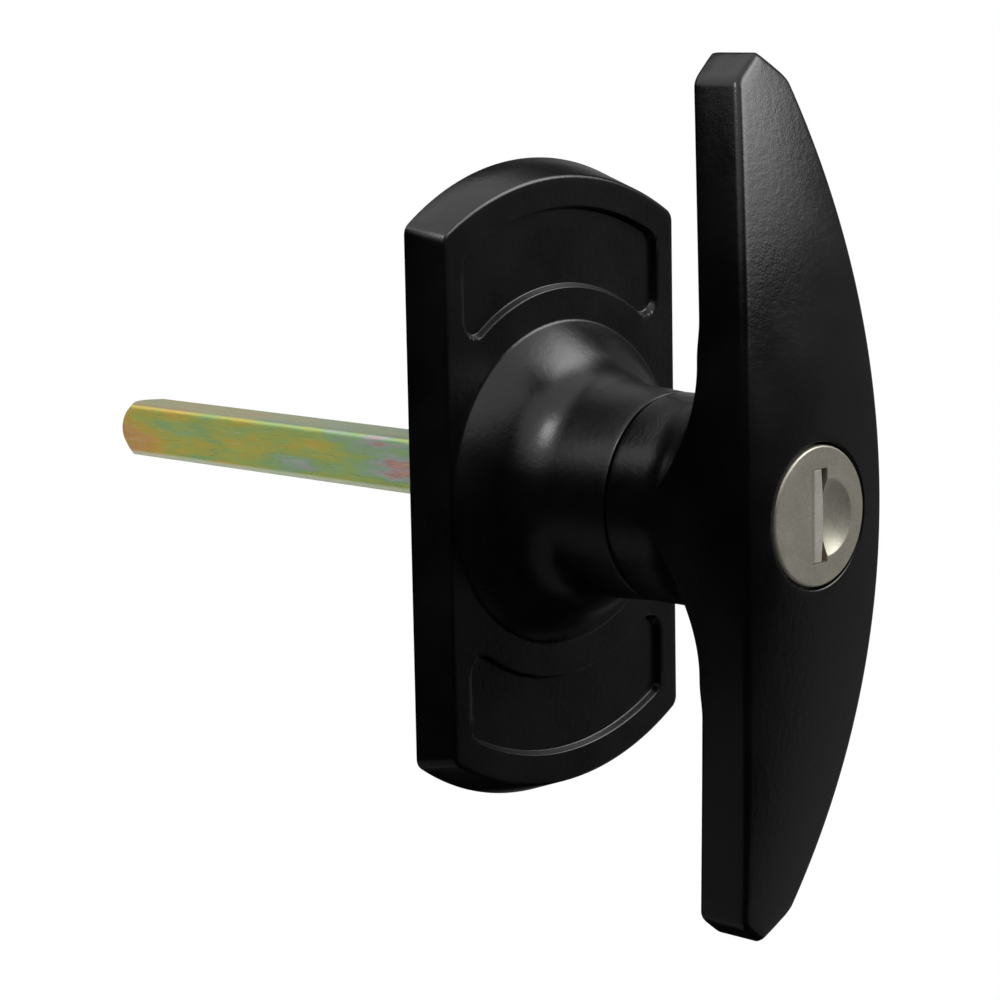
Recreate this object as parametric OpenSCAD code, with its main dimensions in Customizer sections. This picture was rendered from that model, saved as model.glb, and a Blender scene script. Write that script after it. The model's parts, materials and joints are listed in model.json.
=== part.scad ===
// Keyed T-handle lock for a garage door, seen as it is fitted.
// The lock axis is Y. The plane y = 0 is the face of the door, the grip
// stands in front of it on the -Y side and the square spindle runs back on
// the +Y side. +Z is up. All sizes are in millimetres. Places along the axis
// are given as "out", the distance in front of the door face.

/* [Escutcheon] */
// Width of the plate where it meets the door
plate_w = 48; // [46:0.5:60]
// Height of the plate over its two rounded ends
plate_h = 88.4; // [84:0.2:110]
// Height of the straight sides
side_h = 72.6; // [66:0.2:80]
// Thickness of the plate from the door to its front face
plate_t = 6.3; // [5.8:0.1:9]
// Draft of the straight sides, in degrees
side_draft = 10; // [2:1:14]
// Draft of the rounded ends, in degrees
end_draft = 20; // [2:1:24]
// Radius of the four corners seen from the front
corner_r = 1.8; // [0.8:0.1:4]
// Rounding of the front edge
front_edge_r = 0.6; // [0.3:0.1:1.2]
// Width of the rim that touches the door
rim_w = 2.6; // [1.8:0.1:4]
// Thickness of the front wall over the hollow back
front_wall = 2.5; // [2:0.1:3]

/* [Recessed panels] */
// Width of each panel
panel_w = 38.2; // [28:0.2:39]
// Margin between the end of the plate's front face and the panel
panel_margin = 4.4; // [3:0.1:7]
// Depth of each panel
panel_depth = 0.9; // [0.3:0.1:1.1]
// Radius of the inner arc, round the lock axis
panel_inner_r = 27; // [24.5:0.1:29]
// Rounding of each panel's corners
panel_corner_r = 2.2; // [0.6:0.1:3]

/* [Hub] */
// Radius of the dome where it leaves the plate
dome_r = 22.2; // [21:0.1:22.8]
// Radius of the dome's own curve
bell_r = 25; // [18:1:40]
// Lean of the dome where it leaves the plate, in degrees
dome_lean = 38; // [32:1:42]
// Radius of the hollow blend from the dome to the neck
blend_r = 8; // [5:0.5:9]
// Radius of the neck at the seam between hub and grip
neck_r = 14; // [13.6:0.1:14.4]
// Draft of the hub's neck, in degrees
neck_draft = 4; // [1:0.5:5]
// Distance from the door to the seam
seam_out = 25.7; // [24.6:0.1:27]
// Visible gap at the seam
seam_gap = 0.3; // [0.2:0.05:0.6]
// Distance from the door to the back face of the hub's bearing
bearing_out = 8; // [7.4:0.1:9]
// Radius of the chamber behind the bearing
chamber_r = 18.4; // [17:0.1:18.8]
// Thickness of the wall round the chamber, where it meets the door
chamber_wall = 2.4; // [1.6:0.1:3]

/* [Fixing bosses] */
// Distance between the two threaded bosses
boss_spacing = 62; // [58:0.5:66]
// Outer radius of a boss
boss_r = 4.6; // [4:0.1:5.4]
// Core radius of the thread, for an M5 screw
thread_r = 2.1; // [1.6:0.05:2.6]
// Depth of the thread
thread_depth = 4.4; // [3:0.1:4.6]
// Thickness of the ribs behind the plate
rib_t = 1.6; // [1:0.1:2.5]

/* [Grip] */
// Length of the grip, tip to tip
grip_len = 117; // [104:1:130]
// Width of the grip at the lock axis
grip_w = 28.1; // [26:0.1:28.6]
// Distance from the door to the crown of the grip
grip_out = 50.2; // [49:0.1:56]
// Thickness of the grip at its middle
grip_t = 8.5; // [7:0.1:10]
// Width of the grip where its sides meet the two sloping ends
tip_w = 10.6; // [9:0.1:14]
// Slope of the two ends, in degrees
tip_angle = 35; // [25:1:45]
// Rounding where the sides meet the ends, and at the very tip
tip_blend = 1; // [0.5:0.1:2]
// Radius of the bow along the front of the grip
bow_r = 172; // [150:2:400]
// Radius of the bow along the back of the grip
back_bow_r = 187; // [165:2:400]
// Radius of the crown across the grip
crown_r = 118; // [70:1:200]
// Rounding of the grip's edges
grip_edge_r = 0.9; // [0.4:0.1:1.4]
// Radius of the blend from the back of the grip to its neck
flare_r = 10; // [6:0.5:11]

/* [Shank] */
// Radius of the shank that turns in the hub
shank_r = 10.5; // [10.3:0.05:10.8]
// Distance from the door to the end of the shank
shank_end_out = 2.2; // [1:0.1:3]
// Running clearance between turning pieces
run_gap = 0.05; // [0.03:0.01:0.08]
// Depth of the groove for the retaining ring
ring_groove = 1.15; // [0.8:0.05:1.4]
// Thickness of the retaining ring
ring_t = 1; // [0.8:0.1:1.2]
// Width of the retaining ring's band
ring_band = 3.1; // [2:0.1:3.6]
// Thickness of the thrust washer
washer_t = 1; // [0.6:0.1:1.2]
// Outer radius of the thrust washer
washer_r = 15; // [13.5:0.1:16]
// Thickness of the wave washer's strip
wave_t = 0.35; // [0.2:0.05:0.5]
// Number of waves
wave_count = 3; // [3:1:5]

/* [Spindle] */
// Width of the square spindle across its flats
spindle_w = 8; // [7:0.1:9]
// Distance that the spindle reaches behind the door face
spindle_reach = 84; // [40:1:140]
// Distance from the door to the spindle's inner end
spindle_head_out = 17; // [15:0.1:17.6]
// Rounding of the spindle's long corners
spindle_corner_r = 1; // [0.4:0.1:1.6]
// Length of the turned chamfer at the spindle's outer end, at the corners
spindle_chamfer = 2.2; // [1:0.1:3]
// Radius of the cross pin that holds the spindle
pin_r = 1.5; // [1:0.1:2]
// Distance from the door to the cross pin
pin_out = 12.5; // [11.5:0.1:13.5]

/* [Lock cylinder] */
// Radius of the plug's face
face_r = 9.1; // [8.8:0.05:9.2]
// Gap between the face and the grip
face_gap = 0.4; // [0.2:0.05:0.5]
// Distance from the door to the plug's face
face_out = 50.05; // [49.6:0.05:50.4]
// Thickness of the face
face_t = 1.6; // [1.4:0.05:1.8]
// Rounding of the face's edge
face_bevel = 0.3; // [0.1:0.05:0.5]
// Wall of the face cap's skirt
skirt_t = 0.6; // [0.4:0.05:0.8]
// Thickness of the plug's head
head_t = 2.2; // [1.8:0.1:2.6]
// Radius of the plug
plug_r = 6.3; // [6.1:0.05:6.5]
// Outer radius of the shell that the plug turns in
shell_r = 9; // [8.6:0.05:9]
// Length of the shell
shell_len = 18.8; // [18:0.1:19]
// Width of the locking grooves in the shell
groove_w = 6.2; // [6:0.1:6.6]
// Depth of the locking grooves
groove_d = 1; // [0.9:0.05:1.3]

/* [Keyhole] */
// Height of the keyhole
slot_h = 12.2; // [11:0.1:12.8]
// Width of the keyhole
slot_w = 3.1; // [2.9:0.05:3.4]
// Width of the key blade's passage
keyway_w = 1.45; // [1.2:0.05:1.45]
// Height of the key blade's passage
keyway_h = 9; // [7:0.1:9.4]
// Radius of the ball that the scoop beside the keyhole is cut with
scoop_r = 11.4; // [9:0.2:14]
// Depth of the scoop
scoop_d = 1.15; // [0.5:0.05:1.2]
// Width of the shutter
shutter_w = 2.3; // [2.1:0.05:2.4]
// Thickness of the shutter
shutter_t = 0.7; // [0.5:0.05:0.8]
// Distance that the shutter lies below the face
shutter_sunk = 0.12; // [0.05:0.01:0.2]
// Radius of the shutter's rounded hinge side
knuckle_r = 0.75; // [0.7:0.01:0.8]
// Radius of the shutter's pin
shutter_pin_r = 0.3; // [0.2:0.02:0.34]

/* [Wafers] */
// Distance between wafers along the plug
wafer_pitch = 2.7; // [2.4:0.05:2.8]
// Thickness of a wafer
wafer_t = 0.9; // [0.6:0.05:1]
// Width of a wafer
wafer_w = 5.4; // [5:0.1:5.6]
// Distance that a wafer travels out of the plug
wafer_travel = 0.7; // [0.4:0.05:0.8]
// Height of the window that the key passes through
window_h = 6.4; // [5.8:0.1:7]
// Step between two depths of the key's cuts
cut_step = 0.35; // [0.1:0.05:0.4]
// Outer radius of a wafer's spring
wafer_spring_r = 0.6; // [0.4:0.05:0.65]

/* [Locking bolt] */
// Throw of the bolt over a quarter turn of the key
bolt_throw = 1.8; // [1.4:0.1:2]
// Width of the bolt
bolt_w = 8; // [7.6:0.1:9]
// Thickness of the bolt
bolt_t = 3.2; // [2.6:0.1:3.4]
// Distance from the door to the bolt's front face
bolt_out = 23.2; // [22.9:0.1:23.4]
// Radius of the crank pin that drives the bolt
crank_r = 1; // [0.8:0.05:1.2]

/* [Hidden] */
$fn = 64;
eps = 0.01;
cut_over = 1;

// Escutcheon
half_turn = 180;
hub_face_out = seam_out - seam_gap / 2;
neck_face_out = seam_out + seam_gap / 2;
bearing_r = shank_r + run_gap;
notch_end_gap = 0.35;
notch_r = shank_r + bolt_throw + notch_end_gap;
notch_gap = 0.2;
notch_back_out = bolt_out - bolt_t - notch_gap;
hollow_out = plate_t - front_wall;

// Grip
tip_z = grip_len / 2;
crease_z = tip_z - tip_w / 2 * tan(tip_angle);
side_step = (grip_w - tip_w) / 2;
grip_side_r = (crease_z * crease_z + side_step * side_step) / (2 * side_step);
side_x = grip_w / 2 - grip_side_r;
neck_chamfer = 0.2;
mouth_r = face_r + face_gap;
neck_top_out = grip_out - grip_t / 2;

// Lock cylinder
face_back_out = face_out - face_t;
seat_gap = 0.04;
head_out = face_back_out - seat_gap;
head_back_out = head_out - head_t;
end_play = 0.1;
shell_front_out = head_back_out - end_play;
shell_back_out = shell_front_out - shell_len;
skirt_out = head_back_out + end_play;
shell_fit = 0.02;
clip_t = 0.5;
clip_out = shell_back_out - end_play;
clip_groove = 0.8;
clip_band = 2;
plug_end = 1;
plug_back_out = clip_out - clip_t - plug_end;
disc_t = 1.5;
disc_r = 5.4;
disc_back_out = plug_back_out - disc_t;
disc_room = 1.6;
disc_chamber_r = disc_r + disc_room;
tail_w = 3;
bolt_gap = 0.05;
channel_out = bolt_out + bolt_gap;
channel_back_out = bolt_out - bolt_t - bolt_gap;
bore_end_gap = 0.3;
bore_back_out = plug_back_out - bore_end_gap;

// Keyhole: the shutter's hinge pin lies inside the face, near the slot's left side
shutter_end_gap = 0.1;
pivot_x = -slot_w / 2 + shutter_end_gap + knuckle_r;
pivot_out = face_out - shutter_sunk - knuckle_r;
swing_depth = 1.7;
swing_gap = 0.05;
pin_seat = 1.1;
keyway_x = slot_w / 2 - keyway_w;
scoop_z = -0.4;
spring_notch_h = 1.6;
shutter_wire_r = 0.08;
shutter_coil_r = shutter_pin_r + run_gap + 2 * shutter_wire_r;

// Wafers
wafer_gap = 0.06;
wafer_tip_r = plug_r - wafer_gap;
first_wafer_depth = 2.4;
first_wafer_out = shell_front_out - first_wafer_depth;
cuts = [1, 3, 0, 2, 1];
wafer_count = len(cuts);
lug_w = 1.5;
lug_h = 1;
lug_gap = 0.1;
spring_x = -wafer_w / 2 - lug_w / 2 - wafer_gap;
spring_floor_z = -4.3;
spring_play = 0.02;
spring_top_z = -lug_h / 2 - spring_play;
wire_r = 0.13;
window_low = 0.5;
window_gap = 0.25;

// Ring and washers on the shank
washer_play = 0.03;
washer_out = bearing_out - washer_play;
wave_play = 0.02;
wave_out = washer_out - washer_t - wave_play;
ring_out = 5.2;
wave_h = wave_out - ring_out - 2 * wave_play;

function arc(cx, cy, r, a0, a1, n) =
    [for (i = [0:n]) [cx + r * cos(a0 + (a1 - a0) * i / n),
                      cy + r * sin(a0 + (a1 - a0) * i / n)]];

// Triangles between rings of n points, with both end rings closed
function skin_faces(rings, n) = concat(
    [[for (j = [0:n - 1]) j]],
    [for (i = [0:rings - 2], j = [0:n - 1])
        [i * n + j, (i + 1) * n + j, i * n + (j + 1) % n]],
    [for (i = [0:rings - 2], j = [0:n - 1])
        [i * n + (j + 1) % n, (i + 1) * n + j, (i + 1) * n + (j + 1) % n]],
    [[for (j = [n - 1:-1:0]) (rings - 1) * n + j]]);

// The same between rings that run in a closed loop
function loop_faces(rings, n) = [
    for (i = [0:rings - 1], j = [0:n - 1], k = [0:1])
        let (a = i * n + j, b = i * n + (j + 1) % n,
             c = ((i + 1) % rings) * n + j, d = ((i + 1) % rings) * n + (j + 1) % n)
        k == 0 ? [a, b, c] : [b, d, c]];

// A round rod on the lock axis, from one distance out to another
module rod(r, out0, out1) {
    translate([0, -out0, 0]) rotate([90, 0, 0]) cylinder(r = r, h = out1 - out0);
}

// A flat shape, seen from the front, given a depth along the lock axis
module slab(out0, out1) {
    translate([0, -out0, 0]) rotate([90, 0, 0]) linear_extrude(out1 - out0) children();
}

// A profile of [radius, out] points turned round the lock axis
module turned(profile) {
    rotate([90, 0, 0]) rotate_extrude() polygon(profile);
}

// One end and side of the plate's outline at a distance out, drawn in by inset
function plate_quarter(a, b, crown) =
    let (rise = crown - b,
         end_r = (a * a + rise * rise) / (2 * rise),
         end_z = crown - end_r,
         cx = a - corner_r,
         cz = end_z + sqrt(pow(end_r - corner_r, 2) - cx * cx),
         a1 = atan2(cz - end_z, cx))
    concat(arc(cx, cz, corner_r, 0, a1, 5),
           [for (i = [1:12]) let (t = a1 + (90 - a1) * i / 12)
                [end_r * cos(t), end_z + end_r * sin(t)]]);

function plate_outline(out, inset) =
    let (a = plate_w / 2 - out * tan(side_draft) - inset,
         b = side_h / 2 - out * tan(side_draft) - inset,
         crown = plate_h / 2 - out * tan(end_draft) - inset,
         q = plate_quarter(a, b, crown),
         n = len(q))
    concat(q,
           [for (i = [n - 2:-1:0]) [-q[i][0], q[i][1]]],
           [for (i = [0:n - 1]) [-q[i][0], -q[i][1]]],
           [for (i = [n - 2:-1:0]) [q[i][0], -q[i][1]]]);

function edge_in(a) = front_edge_r * (1 - cos(a));
function edge_out(a) = plate_t - front_edge_r * (1 - sin(a));

module plate_blank() {
    stations = concat([[0, 0]], [for (a = [0:30:90]) [edge_out(a), edge_in(a)]]);
    rings = [for (s = stations) plate_outline(s[0], s[1])];
    n = len(rings[0]);
    points = [for (i = [0:len(rings) - 1], p = rings[i]) [p[0], -stations[i][0], p[1]]];
    polyhedron(points, skin_faces(len(rings), n), convexity = 4);
}

// The dome, its hollow blend and the tapered neck. The blend's centre lies on a line
// beside the neck, where it is bell_r + blend_r from the centre of the dome's curve.
function dome_profile() =
    let (s = [dome_r - bell_r * cos(dome_lean), plate_t - bell_r * sin(dome_lean)],
         p = [neck_r + blend_r * cos(neck_draft), hub_face_out + blend_r * sin(neck_draft)],
         u = [sin(neck_draft), -cos(neck_draft)],
         w = p - s,
         t = -(w * u) - sqrt(pow(w * u, 2) - w * w + pow(bell_r + blend_r, 2)),
         b = p + t * u,
         meet = atan2(b[1] - s[1], b[0] - s[0]))
    concat([[0, plate_t - cut_over], [dome_r, plate_t - cut_over]],
           arc(s[0], s[1], bell_r, dome_lean, meet, 6),
           arc(b[0], b[1], blend_r, meet - half_turn, neck_draft - half_turn, 8),
           [[neck_r, hub_face_out], [0, hub_face_out]]);

module panel_shape() {
    crown = plate_h / 2 - plate_t * tan(end_draft) - panel_margin;
    side = side_h / 2 - plate_t * tan(side_draft);
    rise = plate_h / 2 - plate_t * tan(end_draft) - side;
    half_w = plate_w / 2 - plate_t * tan(side_draft);
    end_r = (half_w * half_w + rise * rise) / (2 * rise) - panel_margin;
    offset(r = panel_corner_r, $fn = 32) offset(delta = -panel_corner_r) difference() {
        intersection() {
            translate([0, crown - end_r]) circle(r = end_r, $fn = 180);
            translate([-panel_w / 2, 0]) square([panel_w, plate_h / 2]);
        }
        circle(r = panel_inner_r, $fn = 120);
    }
}

module hollow_shape() {
    difference() {
        polygon(plate_outline(0, rim_w));
        circle(r = chamber_r + chamber_wall);
        for (s = [-1, 1]) translate([0, s * boss_spacing / 2]) circle(r = boss_r);
        square([rib_t, plate_h], center = true);
        for (s = [-1, 1]) translate([0, s * boss_spacing / 2]) square([plate_w, rib_t], center = true);
    }
}

module escutcheon() {
    color([0.06, 0.06, 0.065])
    difference() {
        union() {
            plate_blank();
            turned(dome_profile());
        }
        for (s = [0, 1]) mirror([0, 0, s])
            slab(plate_t - panel_depth, plate_t + cut_over) panel_shape();
        slab(-cut_over, hollow_out) hollow_shape();
        rod(chamber_r, -cut_over, bearing_out);
        rod(bearing_r, 0, seam_out + cut_over);
        slab(notch_back_out, seam_out + cut_over) intersection() {
            circle(r = notch_r);
            for (a = [0, 90]) rotate(a) square([3 * notch_r, bolt_w + 2 * notch_gap], center = true);
        }
        for (s = [-1, 1]) translate([0, 0, s * boss_spacing / 2]) rod(thread_r, -cut_over, thread_depth);
    }
}

// Grip: each side is one arc, and each end is a shallow roof with a rounded ridge
function side_edge(z) = side_x + sqrt(grip_side_r * grip_side_r - z * z);
function tip_edge(z) = let (u = max(0, tip_z - abs(z)) / tan(tip_angle)) sqrt(u * u + tip_blend * u);
function half_w(z) =
    let (a = side_edge(z), b = tip_edge(z), near = max(0, 1 - abs(a - b) / tip_blend))
    min(a, b) - near * near * tip_blend / 4;
function inward(x, z) = min(grip_side_r - norm([abs(x) - side_x, z]),
                            (tip_edge(z) - abs(x)) * sin(tip_angle));
function edge_drop(d) = d >= grip_edge_r ? 0
    : grip_edge_r - sqrt(grip_edge_r * grip_edge_r - pow(grip_edge_r - max(d, 0), 2));
function back_bowed(z) = grip_out - grip_t - z * z / (2 * back_bow_r);
function grip_front(x, z) =
    grip_out - z * z / (2 * bow_r) - x * x / (2 * crown_r) - edge_drop(inward(x, z));
function grip_back(x, z) = back_bowed(z) + edge_drop(inward(x, z));

function across(w) =
    let (e = min(grip_edge_r, w / 2), side = [0, 0.13 * e, 0.5 * e, e])
    concat([for (d = side) -w + d],
           [for (u = [-0.6, -0.2, 0.2, 0.6]) u * (w - e)],
           [for (i = [3:-1:0]) w - side[i]]);

function grip_section(z) =
    let (xs = across(half_w(z)), n = len(xs))
    concat([for (x = xs) [x, -grip_front(x, z), z]],
           [for (i = [n - 1:-1:0]) [xs[i], -grip_back(xs[i], z), z]]);

module grip_bar() {
    steps = 12;
    lens = [for (i = [0:steps - 1]) crease_z * i / steps];
    roof = [for (t = [-0.25, -0.1, 0.05, 0.2, 0.4, 0.6, 0.8, 0.93, 0.99])
        crease_z + (tip_z - crease_z) * t];
    up = concat(lens, roof);
    n = len(up);
    stations = concat([for (i = [n - 1:-1:1]) -up[i]], up);
    sections = [for (z = stations) grip_section(z)];
    points = [for (s = sections, p = s) p];
    polyhedron(points, skin_faces(len(sections), len(sections[0])), convexity = 6);
}

module grip_outline() {
    steps = 12;
    side = [for (i = [-steps:steps]) let (z = crease_z * i / steps) [half_w(z), z]];
    polygon(concat(side, [for (p = side) [-p[0], -p[1]]]));
}

// The hollow blend from the back of the grip to the neck, as rings round the axis
module grip_flare() {
    sides = 56;
    steps = 8;
    first = 0.04;
    radii = [for (i = [0:steps]) flare_r * (first + (1 - first) * pow(i / steps, 1.5))];
    ring = function (r, rise) [for (k = [0:sides - 1]) let (a = 360 * k / sides)
        [r * cos(a), -(back_bowed(r * sin(a)) - rise), r * sin(a)]];
    flat = function (r, out) [for (k = [0:sides - 1]) let (a = 360 * k / sides)
        [r * cos(a), -out, r * sin(a)]];
    rings = concat(
        [flat(neck_r - 1, neck_face_out + 1)],
        [for (d = radii) ring(neck_r + d, flare_r - sqrt(flare_r * flare_r - pow(flare_r - d, 2)))],
        [flat(neck_r + flare_r, neck_top_out)]);
    intersection() {
        polyhedron([for (r = rings, p = r) p], skin_faces(len(rings), sides), convexity = 6);
        slab(neck_face_out, grip_out) grip_outline();
    }
}

module spindle_square(w, r) {
    square([w, w - 2 * r], center = true);
    square([w - 2 * r, w], center = true);
    for (x = [-1, 1], z = [-1, 1]) translate([x * (w / 2 - r), z * (w / 2 - r)]) circle(r = r);
}

module grip() {
    groove_r = shank_r - ring_groove;
    groove_gap = 0.05;
    shank_chamfer = 0.6;
    color([0.06, 0.06, 0.065])
    difference() {
        union() {
            grip_bar();
            grip_flare();
            turned([[0, neck_face_out], [neck_r - neck_chamfer, neck_face_out],
                    [neck_r, neck_face_out + neck_chamfer],
                    [neck_r, neck_top_out], [0, neck_top_out]]);
            turned([[0, shank_end_out], [shank_r - shank_chamfer, shank_end_out],
                    [shank_r, shank_end_out + shank_chamfer], [shank_r, ring_out - ring_t - groove_gap],
                    [groove_r, ring_out - ring_t - groove_gap], [groove_r, ring_out + groove_gap],
                    [shank_r, ring_out + groove_gap], [shank_r, neck_face_out + cut_over],
                    [0, neck_face_out + cut_over]]);
        }
        rod(mouth_r, shell_front_out, grip_out + cut_over);
        rod(shell_r + shell_fit, bore_back_out, grip_out + cut_over);
        rod(disc_chamber_r, channel_out - eps, bore_back_out + eps);
        slab(channel_back_out, channel_out)
            translate([-disc_chamber_r, -bolt_w / 2 - bolt_gap])
                square([disc_chamber_r + shank_r + cut_over, bolt_w + 2 * bolt_gap]);
        slab(shank_end_out - cut_over, spindle_head_out + run_gap)
            spindle_square(spindle_w + 2 * run_gap, spindle_corner_r);
        translate([0, -pin_out, 0]) rotate([0, 90, 0])
            cylinder(r = pin_r + shell_fit, h = 3 * shank_r, center = true);
    }
}

module spindle() {
    corner = (spindle_w / 2 - spindle_corner_r) * sqrt(2) + spindle_corner_r;
    end_flat = 0.15;
    flat_r = spindle_w / 2 - end_flat;
    slope = spindle_chamfer / (corner - flat_r);
    color([0.72, 0.6, 0.25])
    difference() {
        intersection() {
            slab(-spindle_reach, spindle_head_out) spindle_square(spindle_w, spindle_corner_r);
            turned([[0, -spindle_reach], [flat_r, -spindle_reach],
                    [spindle_w, -spindle_reach + slope * (spindle_w - flat_r)],
                    [spindle_w, spindle_head_out + cut_over], [0, spindle_head_out + cut_over]]);
        }
        translate([0, -pin_out, 0]) rotate([0, 90, 0])
            cylinder(r = pin_r + shell_fit, h = 2 * spindle_w, center = true);
    }
}

module spindle_pin() {
    sunk = 0.3;
    length = 2 * (shank_r - sunk);
    bore_share = 0.45;
    color([0.7, 0.7, 0.72])
    translate([0, -pin_out, 0]) rotate([0, 90, 0])
        difference() {
            cylinder(r = pin_r, h = length, center = true);
            cylinder(r = bore_share * pin_r, h = length + cut_over, center = true);
        }
}

module thrust_washer() {
    washer_gap = 0.1;
    color([0.75, 0.75, 0.76])
    difference() {
        rod(washer_r, washer_out - washer_t, washer_out);
        rod(shank_r + washer_gap, washer_out - washer_t - cut_over, washer_out + cut_over);
    }
}

// A flat strip bent into waves, as rings of four points round the axis
module wave_washer() {
    rings = 48;
    swing = (wave_h - wave_t) / 2;
    wave_gap = 0.2;
    wave_margin = 0.3;
    inner = shank_r + wave_gap;
    outer = shank_r + ring_band - wave_margin;
    mid = wave_out - wave_h / 2;
    points = [for (i = [0:rings - 1], k = [0:3])
        let (a = 360 * i / rings, r = k < 2 ? inner : outer,
             side = (k == 0 || k == 3) ? 1 : -1,
             out = mid + swing * cos(wave_count * a) + side * wave_t / 2)
        [r * cos(a), -out, r * sin(a)]];
    color([0.65, 0.66, 0.68]) polyhedron(points, loop_faces(rings, 4), convexity = 6);
}

module retaining_ring() {
    inner = shank_r - ring_groove + run_gap;
    outer = inner + ring_band;
    ear_r = 1.9;
    ear_x = 2.6;
    ear_drop = 0.5;
    ear_hole_r = 0.8;
    mouth_w = 2.2;
    thin = 0.5;
    color([0.3, 0.3, 0.32])
    slab(ring_out - ring_t, ring_out) difference() {
        union() {
            translate([0, -thin / 2]) circle(r = outer - thin / 2);
            for (s = [-1, 1]) translate([s * ear_x, outer - ear_drop]) circle(r = ear_r, $fn = 32);
        }
        circle(r = inner);
        translate([-mouth_w / 2, 0]) square([mouth_w, outer + 2 * ear_r]);
        for (s = [-1, 1]) translate([s * ear_x, outer - ear_drop]) circle(r = ear_hole_r, $fn = 32);
    }
}

module cylinder_shell() {
    back_land = 2;
    front_land = 1;
    color([0.62, 0.62, 0.6])
    difference() {
        rod(shell_r, shell_back_out, shell_front_out);
        rod(plug_r + run_gap, shell_back_out - cut_over, shell_front_out + cut_over);
        slab(shell_back_out + back_land, shell_front_out - front_land) intersection() {
            circle(r = plug_r + groove_d);
            for (a = [0, 90]) rotate(a) square([3 * plug_r, groove_w], center = true);
        }
    }
}

function wafer_out(i) = first_wafer_out - i * wafer_pitch;

module lock_plug() {
    skirt_gap = 0.05;
    groove_r = plug_r - clip_groove;
    pocket_r = wafer_spring_r + lug_gap;
    slot_t = wafer_t + 2 * wafer_gap;
    color([0.7, 0.6, 0.35])
    difference() {
        union() {
            turned([[0, plug_back_out], [plug_r, plug_back_out], [plug_r, clip_out - clip_t - run_gap],
                    [groove_r, clip_out - clip_t - run_gap], [groove_r, clip_out + run_gap],
                    [plug_r, clip_out + run_gap], [plug_r, head_back_out],
                    [face_r - skirt_t - skirt_gap, head_back_out],
                    [face_r - skirt_t - skirt_gap, head_out], [0, head_out]]);
            slab(disc_back_out, plug_back_out + cut_over) square(tail_w, center = true);
        }
        slab(head_out - swing_depth, head_out + cut_over)
            square([slot_w + 2 * swing_gap, slot_h], center = true);
        slab(wafer_out(wafer_count) + wafer_pitch / 2, head_out + cut_over)
            translate([keyway_x, -keyway_h / 2]) square([keyway_w, keyway_h]);
        for (i = [0:wafer_count - 1]) {
            slab(wafer_out(i) - slot_t / 2, wafer_out(i) + slot_t / 2) {
                square([wafer_w + 2 * wafer_gap, 3 * plug_r], center = true);
                translate([-wafer_w / 2 - lug_w - lug_gap, -lug_h / 2 - lug_gap])
                    square([lug_w + 2 * lug_gap, lug_h + wafer_travel + 3 * lug_gap]);
            }
            translate([spring_x, -wafer_out(i), spring_floor_z])
                cylinder(r = pocket_r, h = -spring_floor_z, $fn = 32);
        }
    }
}

module face_cap() {
    pin_hole_r = shutter_pin_r + 0.01;
    color([0.73, 0.72, 0.69])
    difference() {
        turned([[0, face_back_out], [face_r - skirt_t, face_back_out], [face_r - skirt_t, skirt_out],
                [face_r, skirt_out], [face_r, face_out - face_bevel], [face_r - face_bevel, face_out],
                [0, face_out]]);
        slab(face_back_out - cut_over, face_out + cut_over) square([slot_w, slot_h], center = true);
        intersection() {
            translate([slot_w / 2, -face_out - scoop_r + scoop_d, scoop_z]) sphere(r = scoop_r, $fn = 96);
            translate([0, -face_out - cut_over, -face_r]) cube([face_r, face_t, 2 * face_r]);
        }
        translate([pivot_x, -pivot_out, 0])
            cylinder(r = pin_hole_r, h = slot_h + 2 * pin_seat + 0.1, center = true, $fn = 32);
    }
}

module plug_clip() {
    inner = plug_r - clip_groove + run_gap;
    mouth_w = 4;
    color([0.5, 0.5, 0.52])
    slab(clip_out - clip_t, clip_out) difference() {
        circle(r = inner + clip_band);
        circle(r = inner);
        translate([-mouth_w / 2, 0]) square([mouth_w, 2 * plug_r]);
    }
}

module crank_disc() {
    pin_end_gap = 0.3;
    color([0.66, 0.66, 0.67]) {
        slab(disc_back_out, plug_back_out) difference() {
            circle(r = disc_r);
            square(tail_w + 2 * shell_fit, center = true);
        }
        translate([0, 0, bolt_throw]) rod(crank_r, bolt_out - bolt_t + pin_end_gap, disc_back_out);
    }
}

module locking_bolt() {
    lag_share = 0.22;
    lag = lag_share * bolt_throw;
    slot_gap = 0.1;
    tip_sunk = 0.15;
    tip = shank_r - tip_sunk;
    tail_gap = 0.4;
    tail_x = -disc_chamber_r + tail_gap;
    color([0.68, 0.68, 0.7])
    slab(bolt_out - bolt_t, bolt_out) difference() {
        intersection() {
            circle(r = tip);
            translate([tail_x, -bolt_w / 2]) square([2 * shank_r, bolt_w]);
        }
        translate([-crank_r - slot_gap, -crank_r - slot_gap])
            square([2 * crank_r + 2 * slot_gap + lag, 2 * crank_r + 2 * slot_gap + bolt_throw]);
    }
}

module shutter_pin() {
    color([0.6, 0.6, 0.62])
    translate([pivot_x, -pivot_out, 0])
        cylinder(r = shutter_pin_r, h = slot_h + 2 * pin_seat, center = true, $fn = 32);
}

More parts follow.
